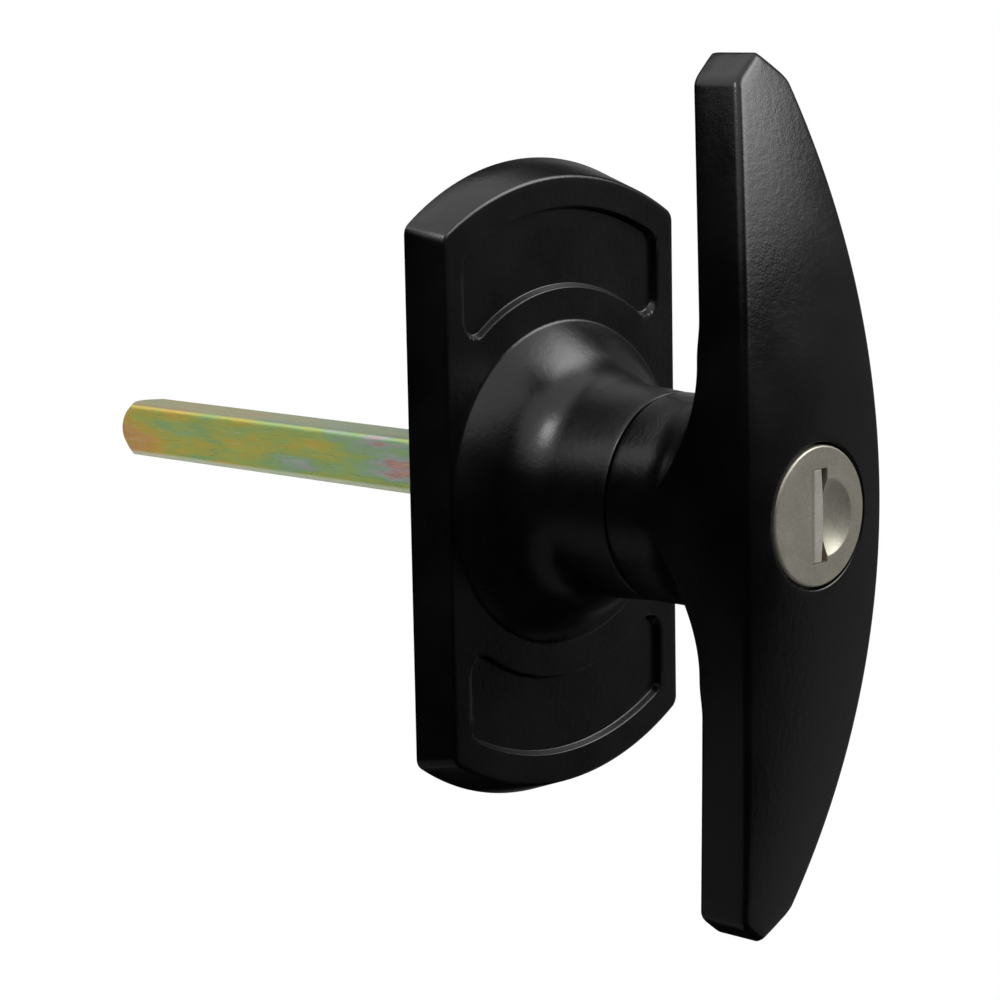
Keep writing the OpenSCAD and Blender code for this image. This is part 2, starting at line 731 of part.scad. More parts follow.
// The shutter's free edge is bowed, so that it clears the ends of the slot as it swings
module shutter() {
    length = slot_h - 2 * shutter_end_gap;
    left = pivot_x - knuckle_r;
    reach = shutter_w - knuckle_r;
    edge_bow = 0.4;
    edge_r = (pow(length / 2, 2) + edge_bow * edge_bow) / (2 * edge_bow);
    color([0.74, 0.73, 0.7])
    difference() {
        union() {
            intersection() {
                translate([pivot_x, -pivot_out - knuckle_r, -length / 2]) cube([reach, shutter_t, length]);
                translate([left + shutter_w - edge_r, -pivot_out, 0]) rotate([90, 0, 0])
                    cylinder(r = edge_r, h = 4 * knuckle_r, center = true, $fn = 360);
            }
            translate([pivot_x, -pivot_out, -length / 2]) cylinder(r = knuckle_r, h = length, $fn = 48);
        }
        translate([pivot_x, -pivot_out, 0])
            cylinder(r = shutter_pin_r + run_gap, h = slot_h, center = true, $fn = 32);
        translate([pivot_x, -pivot_out, length / 2 - 2 * spring_notch_h]) {
            cylinder(r = shutter_coil_r + run_gap, h = spring_notch_h, $fn = 32);
            translate([-2 * knuckle_r, 0, 0]) cube([4 * knuckle_r, 2 * knuckle_r, spring_notch_h]);
        }
    }
}

// An unbroken round wire wound about a vertical axis
module coil(r, wire, turns, height) {
    per_turn = 12;
    sides = 6;
    rings = turns * per_turn + 1;
    rise = (height - 2 * wire) / (rings - 1);
    points = [for (i = [0:rings - 1], k = [0:sides - 1])
        let (a = 360 * i / per_turn, b = -360 * k / sides, rr = r + wire * cos(b))
        [rr * cos(a), rr * sin(a), wire + i * rise + wire * sin(b)]];
    polyhedron(points, skin_faces(rings, sides), convexity = 8);
}

module shutter_spring() {
    color([0.7, 0.7, 0.7])
    translate([pivot_x, -pivot_out, slot_h / 2 - shutter_end_gap - 2 * spring_notch_h + run_gap])
        coil(shutter_coil_r - shutter_wire_r, shutter_wire_r, 4, spring_notch_h - 2 * run_gap);
}

module wafer(i) {
    rise = cuts[i] * cut_step - window_low;
    color([0.78, 0.66, 0.38])
    slab(wafer_out(i) - wafer_t / 2, wafer_out(i) + wafer_t / 2) difference() {
        union() {
            intersection() {
                circle(r = wafer_tip_r);
                square([wafer_w, 3 * plug_r], center = true);
            }
            translate([-wafer_w / 2 - lug_w, -lug_h / 2]) square([lug_w + 1, lug_h]);
        }
        translate([keyway_x - window_gap, -window_h / 2 + rise])
            square([keyway_w + 2 * window_gap, window_h]);
    }
}

module wafer_spring(i) {
    color([0.7, 0.7, 0.7])
    translate([spring_x, -wafer_out(i), spring_floor_z])
        coil(wafer_spring_r - wire_r, wire_r, 6, spring_top_z - spring_floor_z);
}

escutcheon();
grip();
spindle();
spindle_pin();
thrust_washer();
wave_washer();
retaining_ring();
cylinder_shell();
lock_plug();
face_cap();
plug_clip();
crank_disc();
shutter_pin();
shutter_spring();
shutter();
locking_bolt();
wafer(0);  // wafer_1
wafer(1);  // wafer_2
wafer(2);  // wafer_3
wafer(3);  // wafer_4
wafer(4);  // wafer_5
wafer_spring(0);  // wafer_spring_1
wafer_spring(1);  // wafer_spring_2
wafer_spring(2);  // wafer_spring_3
wafer_spring(3);  // wafer_spring_4
wafer_spring(4);  // wafer_spring_5
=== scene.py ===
# Keyed T-handle lock for a garage door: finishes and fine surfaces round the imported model
import bpy
import bmesh
import json
import math
import numpy as np
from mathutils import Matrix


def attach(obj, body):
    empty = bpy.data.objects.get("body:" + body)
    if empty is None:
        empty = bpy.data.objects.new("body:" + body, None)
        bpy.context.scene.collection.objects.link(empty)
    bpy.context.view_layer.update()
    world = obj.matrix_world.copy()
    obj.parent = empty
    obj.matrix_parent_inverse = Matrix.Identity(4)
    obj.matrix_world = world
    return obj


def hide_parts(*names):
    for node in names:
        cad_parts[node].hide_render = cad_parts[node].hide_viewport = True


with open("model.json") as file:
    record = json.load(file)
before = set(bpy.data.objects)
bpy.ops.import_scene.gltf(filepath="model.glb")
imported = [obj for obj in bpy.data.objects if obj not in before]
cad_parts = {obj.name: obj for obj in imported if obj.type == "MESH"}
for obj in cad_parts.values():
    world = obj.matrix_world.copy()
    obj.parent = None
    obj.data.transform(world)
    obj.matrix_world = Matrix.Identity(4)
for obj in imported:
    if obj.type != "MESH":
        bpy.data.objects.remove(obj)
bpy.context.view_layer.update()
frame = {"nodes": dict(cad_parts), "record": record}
mm = 0.001  # the shapes below are worked out in millimetres
nodes = frame["nodes"]
print("frame loaded:", len(nodes), "nodes")


# Places are written (x, out, z) in millimetres, where out is the distance in front of the door.
def toScene(x, out, z):
    # each place becomes (x, -out, z) in metres
    return np.stack(np.broadcast_arrays(x, -np.asarray(out, float), z), -1) * mm


def ringSolid(name, rings):
    # quads join each place on a ring to the next ring, and a fan round the mean of the end ring closes each end
    count, around = rings.shape[:2]
    i, j = np.meshgrid(np.arange(count - 1), np.arange(around), indexing="ij")
    k = (j + 1) % around
    quads = np.stack([i * around + j, i * around + k, (i + 1) * around + k, (i + 1) * around + j], -1)
    first, last = count * around, count * around + 1
    edge = np.arange(around)
    following = (edge + 1) % around
    start = np.stack([np.full(around, first), following, edge], -1)
    end = np.stack([np.full(around, last), (count - 1) * around + edge, (count - 1) * around + following], -1)
    points = np.concatenate([rings.reshape(-1, 3), rings[:1].mean(1), rings[-1:].mean(1)])
    return addSolid(name, points, quads.reshape(-1, 4).tolist() + start.tolist() + end.tolist())


def addSolid(name, points, faces):
    # a mesh object from places and lists of their numbers
    mesh = bpy.data.meshes.new(name)
    mesh.from_pydata(points.tolist(), [], faces)
    solid = bpy.data.objects.new(name, mesh)
    bpy.context.scene.collection.objects.link(solid)
    tidyMesh(solid)
    return solid


def tidyMesh(solid, reach=0.0004 * mm):
    # places nearer than reach become one, and all faces turn outwards
    work = bmesh.new()
    work.from_mesh(solid.data)
    bmesh.ops.remove_doubles(work, verts=work.verts, dist=reach)
    bmesh.ops.dissolve_degenerate(work, edges=work.edges, dist=reach)
    bmesh.ops.recalc_face_normals(work, faces=work.faces)
    work.to_mesh(solid.data)
    work.free()


def flatEnded(name, start, end):
    # walls join place j of the first list to place j of the second, and one flat face closes each end
    count = len(start)
    edge = np.arange(count)
    following = (edge + 1) % count
    sides = np.stack([edge, following, following + count, edge + count], -1)
    return addSolid(name, np.concatenate([start, end]),
                    sides.tolist() + [edge.tolist(), (edge + count).tolist()])


def prism(name, outline, out0, out1):
    # an outline of (x, z) places carried from one distance out to another
    return flatEnded(name, *(toScene(outline[:, 0], out, outline[:, 1]) for out in (out0, out1)))


def circleOutline(radius, centre=(0, 0), count=128):
    # (x, z) places at equal angles round a circle
    angle = np.arange(count) * 2 * np.pi / count
    return np.stack([centre[0] + radius * np.cos(angle), centre[1] + radius * np.sin(angle)], -1)


def boxOutline(x0, x1, z0, z1):
    # the (x, z) corners of an upright rectangle
    return np.array([[x0, z0], [x1, z0], [x1, z1], [x0, z1]], float)


def roundSquare(half, radius, count=8):
    # quarter circles of the given radius at the four corners of a square
    turn = np.linspace(0, np.pi / 2, count)
    corners = [(half - radius) * np.array(c) for c in ((1, 1), (-1, 1), (-1, -1), (1, -1))]
    arcs = [c + radius * np.stack([np.cos(turn + i * np.pi / 2), np.sin(turn + i * np.pi / 2)], -1)
            for i, c in enumerate(corners)]
    return np.concatenate(arcs)


def carve(solid, tool, operation="DIFFERENCE"):
    # the tool is taken from the solid, or joined to it, and is then removed
    step = solid.modifiers.new("carve", "BOOLEAN")
    step.object = tool
    step.operation = operation
    step.solver = "EXACT"
    ready = solid.evaluated_get(bpy.context.evaluated_depsgraph_get())
    done = bpy.data.meshes.new_from_object(ready)
    solid.modifiers.clear()
    solid.data = done
    bpy.data.objects.remove(tool)


def smoothEdges(solid, angle=32):
    # faces shade as one where they meet at less than the angle
    solid.data.shade_smooth()
    solid.data.set_sharp_from_angle(angle=math.radians(angle))


def smoothStep(low, high, value):
    # 3 t^2 - 2 t^3 of the share t of the way from low to high
    t = np.clip((value - low) / (high - low), 0, 1)
    return t * t * (3 - 2 * t)


def arcPlaces(centre, radius, start, end, count):
    # (r, out) places on an arc, with angles in radians from the r axis
    angle = np.linspace(start, end, count)
    return np.stack([centre[0] + radius * np.cos(angle), centre[1] + radius * np.sin(angle)], -1)


def mirrored(quarter):
    # a quarter from the +x axis to the +z axis, repeated round all four sides
    flip = quarter[-2::-1] * [-1, 1]
    return np.concatenate([quarter, flip, quarter[1:] * [-1, -1], quarter[-2:0:-1] * [1, -1]])


# Escutcheon: plate, recessed panels, dome and neck as rings from the hub's face to the door
plate = {
    "width": 48, "height": 88.4, "sideHeight": 72.6, "thickness": 6.3, "sideDraft": 10, "endDraft": 20,
    "cornerRadius": 1.8, "edgeRadius": 0.4, "doorEdge": 0.2,
    "panelHalf": 19.1, "panelMargin": 4.4, "panelInner": 27, "panelCorner": 2.2,
    "panelDepth": 0.9, "panelWall": 0.6,
    "rim": 2.6, "frontWall": 2.5, "rib": 1.6, "bossSpacing": 62, "bossRadius": 4.6,
    "threadRadius": 2.1, "threadDepth": 4.4, "chamberRadius": 18.4, "chamberWall": 2.4,
}
hub = {
    "dome": 22.2, "bell": 25, "lean": 38, "blend": 8, "neck": 14, "draft": 4, "face": 25.55, "faceEdge": 0.25,
    "baseFillet": 0.6, "filletShare": 0.6, "bearing": 10.55, "bearingOut": 8, "notchRadius": 12.65, "notchHalf": 4.2,
    "notchOut": 19.8,
}


def plateReach(out):
    # half width, half height of the sides and half height over the ends, all drawn in by the draft
    sideIn = out * math.tan(math.radians(plate["sideDraft"]))
    endIn = out * math.tan(math.radians(plate["endDraft"]))
    return plate["width"] / 2 - sideIn, plate["sideHeight"] / 2 - sideIn, plate["height"] / 2 - endIn


def plateOutline(out, inset, sideCount=60, cornerCount=14, endCount=70):
    # straight side, corner arc and end arc at that distance out, then moved in by the inset
    a, b, crown = (reach - inset for reach in plateReach(out))
    rise = crown - b
    endRadius = (a * a + rise * rise) / (2 * rise)
    endZ = crown - endRadius
    cx = a - plate["cornerRadius"]
    cz = endZ + math.sqrt((endRadius - plate["cornerRadius"]) ** 2 - cx * cx)
    turn = math.atan2(cz - endZ, cx)
    side = np.stack([np.full(sideCount, a), np.linspace(0, cz, sideCount, endpoint=False)], -1)
    corner = arcPlaces((cx, cz), plate["cornerRadius"], 0, turn, cornerCount + 1)[:-1]
    end = arcPlaces((0, endZ), endRadius, turn, np.pi / 2, endCount)
    return mirrored(np.concatenate([side, corner, end]))


def panelDistance(x, z):
    # distance to the panel's outline, negative inside: the outline lies one corner radius outside a core
    # with sharp corners, and outside the core the nearest corner or facing edge counts
    halfWidth, side, crown = plateReach(plate["thickness"])
    rise = crown - side
    endRadius = (halfWidth ** 2 + rise ** 2) / (2 * rise) - plate["panelMargin"]
    endZ = crown - plate["panelMargin"] - endRadius
    x, z, r = np.abs(x), np.abs(z), plate["panelCorner"]
    half, inner, outer = plate["panelHalf"] - r, plate["panelInner"] + r, endRadius - r
    lowZ, highZ = math.sqrt(inner ** 2 - half ** 2), endZ + math.sqrt(outer ** 2 - half ** 2)
    fromAxis, fromEnd = np.hypot(x, z), np.hypot(x, z - endZ)
    edges = np.stack([x - half, inner - fromAxis, fromEnd - outer])
    facing = np.stack([(z > lowZ) & (z < highZ), x * inner < half * fromAxis, x * outer < half * fromEnd])
    corners = np.minimum(np.hypot(x - half, z - lowZ), np.hypot(x - half, z - highZ))
    outside = np.minimum(np.where(facing & (edges > 0), edges, np.inf).min(0), corners)
    return np.where(edges.max(0) > 0, outside, edges.max(0)) - r


def panelDrop(x, z):
    # the panel's floor lies below the face, joined to it by a smooth step across the wall's width
    half = plate["panelWall"] / 2
    return plate["panelDepth"] * smoothStep(-half, half, -panelDistance(x, z))


def domePlaces():
    # (r, out) from the hub's face down the drafted neck, the hollow blend and the dome; the blend's
    # centre lies beside the neck, at bell + blend from the centre of the dome's curve
    draft, lean = math.radians(hub["draft"]), math.radians(hub["lean"])
    bell, blend, edge = hub["bell"], hub["blend"], hub["faceEdge"]
    middle = np.array([hub["dome"] - bell * math.cos(lean), plate["thickness"] - bell * math.sin(lean)])
    start = np.array([hub["neck"] + blend * math.cos(draft), hub["face"] + blend * math.sin(draft)])
    along = np.array([math.sin(draft), -math.cos(draft)])
    back = (start - middle) @ along
    reach = math.sqrt(back ** 2 - (start - middle) @ (start - middle) + (bell + blend) ** 2)
    centre = start - (back + reach) * along
    meet = math.atan2(centre[1] - middle[1], centre[0] - middle[0])
    top = arcPlaces((hub["neck"] - edge, hub["face"] - edge), edge, np.pi / 2, 0, 5)
    hollow = arcPlaces(centre, blend, draft - np.pi, meet - np.pi, 22)
    neck = np.linspace(top[-1], hollow[0], 14)[1:-1]
    dome = arcPlaces(middle, bell, meet, lean + hub["filletShare"] * hub["baseFillet"] / bell, 20)[1:]
    return np.concatenate([[[hub["bearing"] - 1, hub["face"]]], top, neck, hollow, dome])


def makeEscutcheon():
    # rings in the directions of the plate's outline: hub, fillet, front face with panels, edge and side
    front = plate["thickness"]
    flat = plateOutline(front, plate["edgeRadius"])
    angle = np.arctan2(flat[:, 1], flat[:, 0])
    unit = np.stack([np.cos(angle), np.sin(angle)], -1)
    profile = domePlaces()
    rings = [toScene(r * unit[:, 0], out, r * unit[:, 1]) for r, out in profile]
    # a small fillet between dome and plate, as wide as the flat margin allows
    lean = math.radians(hub["lean"])
    widen = (1 - math.sin(lean)) / math.cos(lean)
    room = np.linalg.norm(flat, axis=1) - hub["dome"]
    fillet = np.clip(room * 0.8 / widen, 0.02, hub["baseFillet"])
    middle = hub["dome"] + fillet * widen
    for turn in np.linspace(lean, np.pi / 2, 7):
        r = middle - fillet * math.cos(turn)
        rings.append(toScene(r * unit[:, 0], front + fillet * (1 - math.sin(turn)), r * unit[:, 1]))
    # across the face each step is a share of the way to the edge, with steps close together at the walls
    base = middle[:, None] * unit
    span = np.linalg.norm(flat - base, axis=1)
    fine = np.linspace(0, 1, 400)[:, None]
    line = base[None] + fine[..., None] * (flat - base)[None]
    inside = panelDistance(line[..., 0], line[..., 1]) < 0
    hit = inside.any(0)
    places = np.arange(len(flat))
    entry = np.interp(places, places[hit], fine[inside.argmax(0)[hit], 0])
    leave = np.interp(places, places[hit], fine[len(fine) - 1 - inside[::-1].argmax(0)[hit], 0])
    reach = plate["panelWall"] * np.linspace(-0.62, 0.62, 15)[:, None] / np.maximum(span, 0.5)
    steps = np.concatenate([np.linspace(0.04, 1, 5)[:, None] * entry, entry + reach, leave + reach,
                            entry + np.linspace(0.12, 0.88, 8)[:, None] * (leave - entry),
                            leave + np.linspace(0.1, 1, 6)[:, None] * (1 - leave)])
    for t in np.sort(np.clip(steps, 0.001, 1), axis=0):
        p = base + t[:, None] * (flat - base)
        rings.append(toScene(p[:, 0], front - panelDrop(p[:, 0], p[:, 1]), p[:, 1]))
    for turn in np.linspace(0, np.pi / 2, 7)[1:]:
        out = front - plate["edgeRadius"] * (1 - math.cos(turn))
        p = plateOutline(out, plate["edgeRadius"] * (1 - math.sin(turn)))
        rings.append(toScene(p[:, 0], out, p[:, 1]))
    for out, inset in ((3, 0), (plate["doorEdge"], 0), (0.3 * plate["doorEdge"], 0.3 * plate["doorEdge"]),
                       (0, plate["doorEdge"])):
        p = plateOutline(out, inset)
        rings.append(toScene(p[:, 0], out, p[:, 1]))
    return ringSolid("escutcheonShell", np.array(rings))


def carveBack(shell):
    # the hollow between rim, ribs, bosses and chamber wall, then the chamber, bearing, notches and threads;
    # the tools end at different distances out, so that no two of their end faces coincide
    hollow = prism("hollow", plateOutline(0, plate["rim"], 6, 4, 24), -1, plate["thickness"] - plate["frontWall"])
    top = plate["thickness"]
    half, far = plate["rib"] / 2, plate["height"]
    bossZ = plate["bossSpacing"] / 2
    carve(hollow, prism("wall", circleOutline(plate["chamberRadius"] + plate["chamberWall"]), -3, top))
    carve(hollow, prism("rib", boxOutline(-half, half, -far, far), -2.5, top + 0.5))
    for z in (-bossZ, bossZ):
        carve(hollow, prism("boss", circleOutline(plate["bossRadius"], (0, z), 64), -2, top + 1))
        carve(hollow, prism("crossRib", boxOutline(-far, far, z - half, z + half), -2.2, top + 1.5))
    carve(shell, hollow)
    carve(shell, prism("chamber", circleOutline(plate["chamberRadius"]), -1, hub["bearingOut"]))
    bore = prism("bearing", circleOutline(hub["bearing"]), hub["bearingOut"] - 1, hub["face"] + 1)
    n = hub["notchHalf"]
    cross = prism("notchAcross", boxOutline(-20, 20, -n, n), hub["notchOut"], hub["face"] + 2)
    carve(cross, prism("notchUp", boxOutline(-n, n, -20, 20), hub["notchOut"] - 0.001, hub["face"] + 2.5), "UNION")
    carve(cross, prism("notchEnd", circleOutline(hub["notchRadius"]), hub["notchOut"] - 1, hub["face"] + 3),
          "INTERSECT")
    carve(shell, bore)
    carve(shell, cross)
    for z in (-bossZ, bossZ):
        thread = circleOutline(plate["threadRadius"], (0, z), 48)
        carve(shell, prism("thread", thread, -1, plate["threadDepth"]))


# Grip: one skin from the shank's end up the neck, over the flare, round the edge and in to the mouth
grip = {
    "length": 117, "width": 28.1, "crown": 50.2, "thickness": 8.5, "bow": 172, "backBow": 187, "cross": 118,
    "tipWidth": 10.6, "tipAngle": 35, "tipBlend": 1, "tipGap": 0.045, "tipReach": 9, "edge": 0.9, "sideEdge": 0.02,
    "flare": 10, "neck": 14, "neckOut": 25.85, "neckEdge": 0.25, "mouth": 9.5, "mouthEdge": 0.25, "mouthOut": 46.11,
    "shank": 10.5, "shankOut": 2.2, "shankChamfer": 0.6, "groove": 9.35, "grooveOut": (4.15, 5.25),
    "shellBore": 9.02, "shellOut": 25.41, "discBore": 7.0, "channelOut": (19.95, 23.25), "channelHalf": 4.05,
    "squareHalf": 4.05, "squareCorner": 1.0, "squareOut": 17.05, "pinRadius": 1.52, "pinOut": 12.5,
}


def gripHalf(z):
    # the sides are arcs and the ends shallow roofs with a rounded ridge, blended where they meet
    tip = grip["length"] / 2
    slope = math.tan(math.radians(grip["tipAngle"]))
    crease = tip - grip["tipWidth"] / 2 * slope
    step = (grip["width"] - grip["tipWidth"]) / 2
    radius = (crease ** 2 + step ** 2) / (2 * step)
    side = grip["width"] / 2 - radius + np.sqrt(radius ** 2 - z ** 2)
    u = np.maximum(tip - np.abs(z), 0) / slope
    end = np.sqrt(u * u + grip["tipBlend"] * u)
    near = np.maximum(1 - np.abs(side - end) / grip["tipBlend"], 0)
    return np.minimum(side, end) - near ** 2 * grip["tipBlend"] / 4


def gripOutline(sideCount=92, tipCount=56):
    # places spaced evenly along the side and more closely round the tip; the normals point inwards
    tip = grip["length"] / 2
    z = (tip - grip["tipGap"]) * (1 - np.linspace(1, 0, 6000) ** 3)
    x = gripHalf(z)
    way = np.concatenate([[0], np.cumsum(np.hypot(np.diff(x), np.diff(z)))])
    split = way[-1] - grip["tipReach"]
    stops = np.concatenate([np.linspace(0, split, sideCount, endpoint=False),
                            np.linspace(split, way[-1], tipCount)])
    outline = mirrored(np.stack([np.interp(stops, way, x), np.interp(stops, way, z)], -1))
    along = np.roll(outline, -1, 0) - np.roll(outline, 1, 0)
    inward = np.stack([-along[:, 1], along[:, 0]], -1)
    for _ in range(14):
        inward = inward / np.linalg.norm(inward, axis=1)[:, None]
        inward = np.roll(inward, -1, 0) + 2 * inward + np.roll(inward, 1, 0)
    return outline, inward / np.linalg.norm(inward, axis=1)[:, None]


def gripFront(x, z):
    # bowed along the grip and crowned across it
    return grip["crown"] - z * z / (2 * grip["bow"]) - x * x / (2 * grip["cross"])


def gripBow(z):
    # the back is bowed along the grip and has no crown
    return grip["crown"] - grip["thickness"] - z * z / (2 * grip["backBow"])


def gripBack(x, z):
    # nearer the neck the bow drops along the flare's hollow arc
    short = np.clip(grip["neck"] + grip["flare"] - np.hypot(x, z), 0, grip["flare"])
    return gripBow(z) + np.sqrt(grip["flare"] ** 2 - short ** 2) - grip["flare"]


def shankPlaces():
    # (r, out) from the shank's end over the ring groove to the neck's end face
    g0, g1 = grip["grooveOut"]
    s, c, e = grip["shank"], grip["shankChamfer"], grip["neckEdge"]
    start = grip["shankOut"]
    lower = [[6.5, start], [8.5, start], [s - c, start], [s, start + c], [s, g0 - 0.01], [s, g0],
             [grip["groove"], g0], [grip["groove"], g1], [s, g1], [s, 12], [s, 20], [s, grip["neckOut"]]]
    end = arcPlaces((grip["neck"] - e, grip["neckOut"] + e), e, -np.pi / 2, 0, 5)
    return np.concatenate([lower, end])


def makeGrip():
    # rings in the directions of the grip's outline: shank, neck, flare, back, edges, front and mouth
    outline, inward = gripOutline()
    radius = np.linalg.norm(outline, axis=1)
    unit = outline / radius[:, None]
    neck, flare = grip["neck"], grip["flare"]
    rings = [toScene(r * unit[:, 0], out, r * unit[:, 1]) for r, out in shankPlaces()]
    foot = np.minimum(neck, radius)
    start = gripBack(neck * unit[:, 0], neck * unit[:, 1])
    low = grip["neckOut"] + grip["neckEdge"]
    for t in np.linspace(0, 1, 9)[1:-1]:
        out = low + t * (start - low)
        r = neck + (foot - neck) * smoothStep(0, 1, t)
        rings.append(toScene(r * unit[:, 0], out, r * unit[:, 1]))
    # the flare stops in a crease where it meets the flat side
    last = np.arccos(np.clip((neck + flare - radius) / flare, 0, 1))
    for t in np.linspace(0, 1, 20):
        r = np.minimum(neck + flare * (1 - np.cos(t * last)), np.maximum(radius, foot))
        r = np.where(radius < neck, foot, r)
        bow = gripBow(r * unit[:, 1])
        rings.append(toScene(r * unit[:, 0], bow - flare * (1 - np.sin(t * last)), r * unit[:, 1]))
    ended = np.minimum(radius, neck + flare)
    bowEnd = gripBow(ended * unit[:, 1])
    crease = bowEnd - flare * (1 - np.sin(last))
    thin = grip["sideEdge"]
    edge = thin + (grip["edge"] - thin) * smoothStep(neck + flare + 0.2, neck + flare + 4.5, radius)
    for t in np.linspace(0, 1, 6)[1:]:
        rings.append(toScene(ended * unit[:, 0], crease + t * (bowEnd - crease), ended * unit[:, 1]))
    begin = ended[:, None] * unit
    rim = np.where((radius > neck + flare)[:, None], outline + edge[:, None] * inward, outline)
    for t in np.linspace(0, 1, 13)[1:]:
        p = begin + t * (rim - begin)
        rings.append(toScene(p[:, 0], gripBow(p[:, 1]), p[:, 1]))
    for turn in np.linspace(0, np.pi / 2, 7)[1:]:
        p = outline + (edge * (1 - math.sin(turn)))[:, None] * inward
        rings.append(toScene(p[:, 0], gripBow(p[:, 1]) + edge * (1 - math.cos(turn)), p[:, 1]))
    backOut = gripBow(outline[:, 1]) + edge
    frontOut = gripFront(outline[:, 0], outline[:, 1]) - grip["edge"]
    for t in (0.33, 0.67):
        rings.append(toScene(outline[:, 0], backOut + t * (frontOut - backOut), outline[:, 1]))
    for turn in np.linspace(0, np.pi / 2, 9):
        p = outline + grip["edge"] * (1 - math.cos(turn)) * inward
        drop = grip["edge"] * (1 - math.sin(turn))
        rings.append(toScene(p[:, 0], gripFront(p[:, 0], p[:, 1]) - drop, p[:, 1]))
    lip = grip["mouth"] + grip["mouthEdge"]
    begin = outline + grip["edge"] * inward
    for t in np.linspace(0, 1, 30)[1:]:
        p = begin + t * (lip * unit - begin)
        rings.append(toScene(p[:, 0], gripFront(p[:, 0], p[:, 1]), p[:, 1]))
    for turn in np.linspace(0, np.pi / 2, 5)[1:]:
        p = (lip - grip["mouthEdge"] * math.sin(turn)) * unit
        drop = grip["mouthEdge"] * (1 - math.cos(turn))
        rings.append(toScene(p[:, 0], gripFront(p[:, 0], p[:, 1]) - drop, p[:, 1]))
    p = grip["mouth"] * unit
    rings.append(toScene(p[:, 0], grip["mouthOut"], p[:, 1]))
    return ringSolid("gripBody", np.array(rings))


def carveGrip(body):
    # the bore for the lock cylinder, the crank's chamber, the bolt's channel, the square hole and the pin hole
    low, high = grip["channelOut"]
    bore = prism("bore", circleOutline(grip["shellBore"]), grip["shellOut"], grip["mouthOut"] + 1)
    carve(bore, prism("disc", circleOutline(grip["discBore"]), high - 0.1, grip["shellOut"] + 1), "UNION")
    half = grip["channelHalf"]
    channel = boxOutline(-grip["discBore"], grip["shank"] + 1, -half, half)
    carve(bore, prism("channel", channel, low, high), "UNION")
    carve(body, bore)
    carve(body, prism("square", roundSquare(grip["squareHalf"], grip["squareCorner"]), grip["shankOut"] - 1,
                      grip["squareOut"]))
    pin = circleOutline(grip["pinRadius"], (0, grip["pinOut"]), 40)
    carve(body, flatEnded("pinHole", *(toScene(x, pin[:, 1], pin[:, 0]) for x in (-20, 20))))


# Face of the lock plug: slot, scoop and bevel as rings round the slot
face = {
    "radius": 9.1, "out": 50.05, "thick": 1.6, "bevel": 0.3, "skirtOut": 46.31, "skirt": 0.6,
    "slotHalf": 1.55, "slotEnd": 6.1, "slotCorner": 0.12, "slotEdge": 0.08, "slotTurn": 58,
    "scoopRadius": 11.4, "scoopDepth": 1.15, "scoopZ": -0.4, "scoopSoft": 0.05,
}


def scoopDrop(x, z):
    # a ball cut beside the slot, with a soft edge
    across = np.hypot(x - face["slotHalf"], z - face["scoopZ"])
    ball = np.sqrt(np.maximum(face["scoopRadius"] ** 2 - across ** 2, 0))
    depth = ball - (face["scoopRadius"] - face["scoopDepth"])
    soft = face["scoopSoft"]
    return np.where(x > face["slotHalf"] - 0.01, 0.5 * (depth + np.sqrt(depth ** 2 + soft ** 2)), 0)


def makeFace(sideCount=90, endCount=40):
    # places round the slot are joined to places round the rim in the same order; slotTurn is the angle on
    # the rim that the slot's corner is joined to
    half, end, c = face["slotHalf"], face["slotEnd"], face["slotCorner"]
    side = np.stack([np.full(sideCount, half), np.linspace(0, end - c, sideCount, endpoint=False)], -1)
    corner = arcPlaces((half - c, end - c), c, 0, np.pi / 2, 6)[:-1]
    top = np.stack([np.linspace(half - c, 0, endCount), np.full(endCount, end)], -1)
    slot = mirrored(np.concatenate([side, corner, top]))
    split = math.radians(face["slotTurn"])
    turns = np.concatenate([np.linspace(0, split, sideCount, endpoint=False),
                            np.linspace(split, np.pi / 2, 5 + endCount)])
    rimUnit = mirrored(np.stack([np.cos(turns), np.sin(turns)], -1))
    out, back, r, b = face["out"], face["out"] - face["thick"], face["radius"], face["bevel"]
    edge = face["slotEdge"]
    rings = []
    for at in (back + 0.3, out - 0.6, out - 0.3, out - edge):
        drop = scoopDrop(slot[:, 0] + 0.001, slot[:, 1])
        rings.append(toScene(slot[:, 0], np.minimum(at, out - drop - edge), slot[:, 1]))
    for t in np.concatenate([[0.004, 0.012], np.linspace(0.02, 1, 56)]):
        p = slot + t * ((r - b) * rimUnit - slot)
        rings.append(toScene(p[:, 0], out - scoopDrop(p[:, 0], p[:, 1]), p[:, 1]))
    for turn in np.linspace(0, np.pi / 2, 7)[1:]:
        p = (r - b + b * math.sin(turn)) * rimUnit
        rings.append(toScene(p[:, 0], out - b * (1 - math.cos(turn)), p[:, 1]))
    for radius, at in ((r, face["skirtOut"]), (r - face["skirt"], face["skirtOut"]), (r - face["skirt"], back)):
        p = radius * rimUnit
        rings.append(toScene(p[:, 0], at, p[:, 1]))
    rings.append(toScene(slot[:, 0], back, slot[:, 1]))
    rings.append(rings[0])
    return bandSolid("plugFace", np.array(rings))


def bandSolid(name, rings):
    # a solid without ends: the fans that close them go, and the last ring meets the first
    solid = ringSolid(name, rings)
    work = bmesh.new()
    work.from_mesh(solid.data)
    work.verts.ensure_lookup_table()
    fans = [v for v in work.verts if len(v.link_edges) > 60]
    bmesh.ops.delete(work, geom=fans, context="VERTS")
    bmesh.ops.remove_doubles(work, verts=work.verts, dist=0.0004 * mm)
    bmesh.ops.recalc_face_normals(work, faces=work.faces)
    work.to_mesh(solid.data)
    work.free()
    return solid


